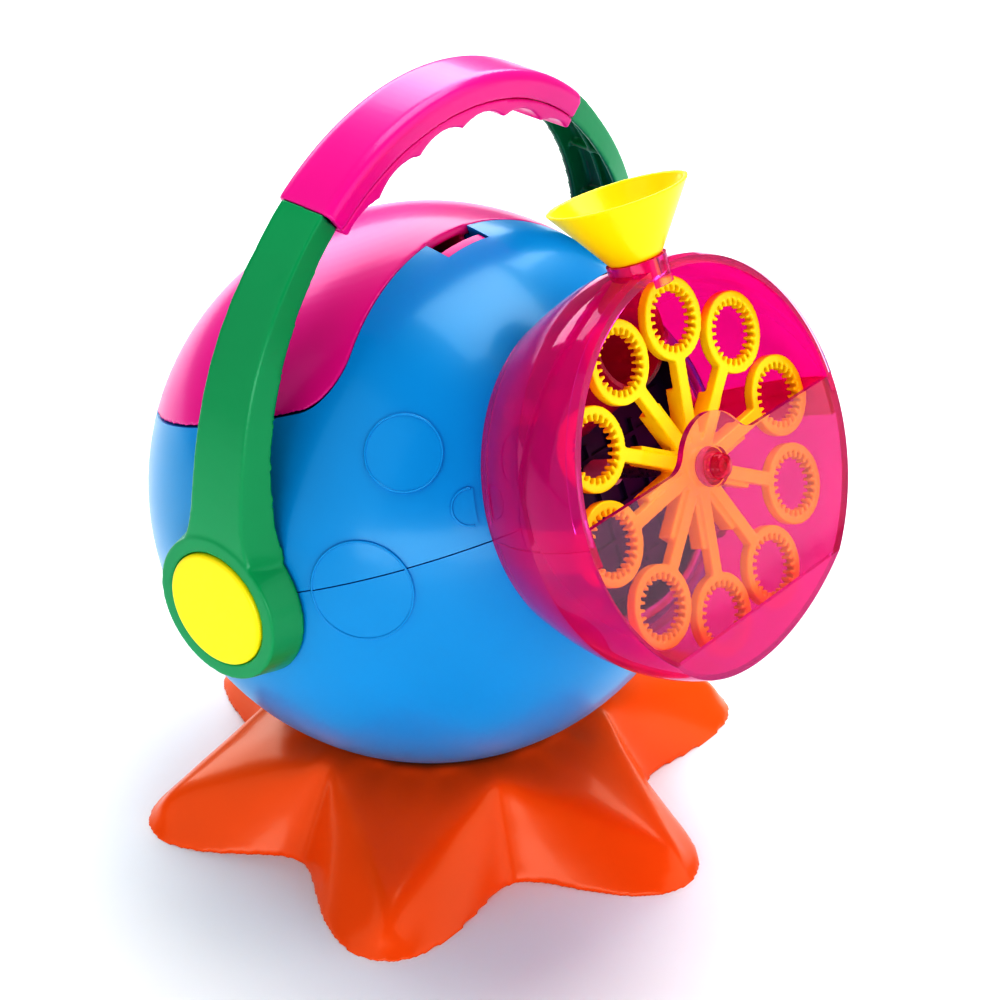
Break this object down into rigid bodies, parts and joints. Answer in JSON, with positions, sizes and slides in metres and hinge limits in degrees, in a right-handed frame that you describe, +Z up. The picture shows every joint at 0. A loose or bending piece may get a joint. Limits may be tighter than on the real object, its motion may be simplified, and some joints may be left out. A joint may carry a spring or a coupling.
{
  "type": "bubble machine",
  "caption": "Toy bubble blower: round tilted head on a six-armed foot, clear drum with wand wheel, filler funnel, hinged hood and swinging carrying bail.",
  "frame": {"origin": "on the floor under the middle of the six-armed foot", "axes": "+Z up, -Y the front that blows bubbles, +X the toy's left side seen from the front"},
  "size_m": [0.176, 0.1996, 0.2218],
  "materials": {
    "blue_plastic": "smooth glossy moulded",
    "pink_plastic": "smooth glossy moulded",
    "green_plastic": "smooth glossy moulded",
    "yellow_plastic": "smooth glossy moulded",
    "orange_plastic": "smooth glossy moulded",
    "clear_magenta": "clear tinted moulded plastic",
    "navy_plastic": "smooth moulded",
    "dark_plastic": "fine grain moulded",
    "white_plastic": "natural moulded acetal",
    "cell_wrap": "printed sleeve without lettering",
    "motor_steel": "plated can",
    "bright_steel": "zinc plated"
  },
  "bodies": {
    "root": {"base_skirt": "orange_plastic", "base_plate": "dark_plastic", "base_screws": "bright_steel", "head_screws": "bright_steel", "lower_shell": "blue_plastic", "upper_shell": "blue_plastic", "shell_screws": "bright_steel", "hood_hinge_pin": "bright_steel", "drum_cover": "clear_magenta", "solution_tank": "clear_magenta", "drum_screws": "bright_steel", "front_bush": "clear_magenta", "rear_bush": "white_plastic", "bulkhead": "navy_plastic", "air_nozzle": "clear_magenta", "fan_housing": "dark_plastic", "motor": "motor_steel", "gear_pins": "bright_steel", "front_gear_plate": "white_plastic", "rear_gear_plate": "white_plastic", "gear_screws": "bright_steel", "battery_box": "dark_plastic", "batteries": "cell_wrap", "contact_springs": "bright_steel", "battery_cover": "dark_plastic", "cover_screw": "bright_steel", "switch_body": "dark_plastic", "pivot_studs": "white_plastic", "pivot_washers": "bright_steel", "pivot_screws": "bright_steel"},
    "bail": {"right_arm": "green_plastic", "left_arm": "green_plastic", "grip_outer": "pink_plastic", "grip_inner": "pink_plastic", "grip_screws": "bright_steel", "right_cap": "yellow_plastic", "left_cap": "yellow_plastic"},
    "hood_lid": {"hood": "pink_plastic", "latch_spring": "bright_steel"},
    "latch": {"hood_latch": "pink_plastic"},
    "wheel": {"wand_wheel": "yellow_plastic", "wheel_axle": "bright_steel", "wheel_gear": "white_plastic"},
    "second_idler": {"second_idler_gear": "white_plastic"},
    "first_idler": {"first_idler_gear": "white_plastic"},
    "rotor": {"motor_shaft": "bright_steel", "motor_pinion": "white_plastic", "fan_impeller": "white_plastic"},
    "funnel_body": {"funnel": "yellow_plastic"},
    "switch": {"switch_slider": "dark_plastic"}
  },
  "joints": [
    {"name": "bail_swing", "type": "hinge", "parent": "root", "child": "bail", "pos_m": [0, 0.0025, 0.097], "axis": [1, 0, 0], "range_deg": [-110, 14]},
    {"name": "hood_hinge", "type": "hinge", "parent": "root", "child": "hood_lid", "pos_m": [0, 0.08443, 0.09986], "axis": [-1, 0, 0], "range_deg": [0, 80]},
    {"name": "latch_slide", "type": "slide", "parent": "hood_lid", "child": "latch", "axis": [0, 0.9239, -0.3827], "range_m": [0, 0.0025], "stiffness_N_per_m": 300, "springref_m": -0.001, "deforming": ["latch_spring"]},
    {"name": "wheel_spin", "type": "hinge", "parent": "root", "child": "wheel", "pos_m": [0, 0.0025, 0.097], "axis": [0, -0.9239, 0.3827], "continuous": true},
    {"name": "second_idler_spin", "type": "hinge", "parent": "root", "child": "second_idler", "pos_m": [-0.01885, -0.00104, 0.08844], "axis": [0, -0.9239, 0.3827], "continuous": true},
    {"name": "first_idler_spin", "type": "hinge", "parent": "root", "child": "first_idler", "pos_m": [-0.01699, 0.00696, 0.10777], "axis": [0, -0.9239, 0.3827], "continuous": true},
    {"name": "motor_spin", "type": "hinge", "parent": "root", "child": "rotor", "pos_m": [0, 0.01168, 0.11917], "axis": [0, -0.9239, 0.3827], "continuous": true},
    {"name": "funnel_lift", "type": "slide", "parent": "root", "child": "funnel_body", "axis": [0, 0.3827, 0.9239], "range_m": [0, 0.025]},
    {"name": "power_switch", "type": "slide", "parent": "root", "child": "switch", "axis": [1, 0, 0], "range_m": [0, 0.007]}
  ],
  "couplings": [
    {"joint": "second_idler_spin", "follows": "wheel_spin", "ratio": -4},
    {"joint": "first_idler_spin", "follows": "wheel_spin", "ratio": 16},
    {"joint": "motor_spin", "follows": "wheel_spin", "ratio": -64}
  ]
}
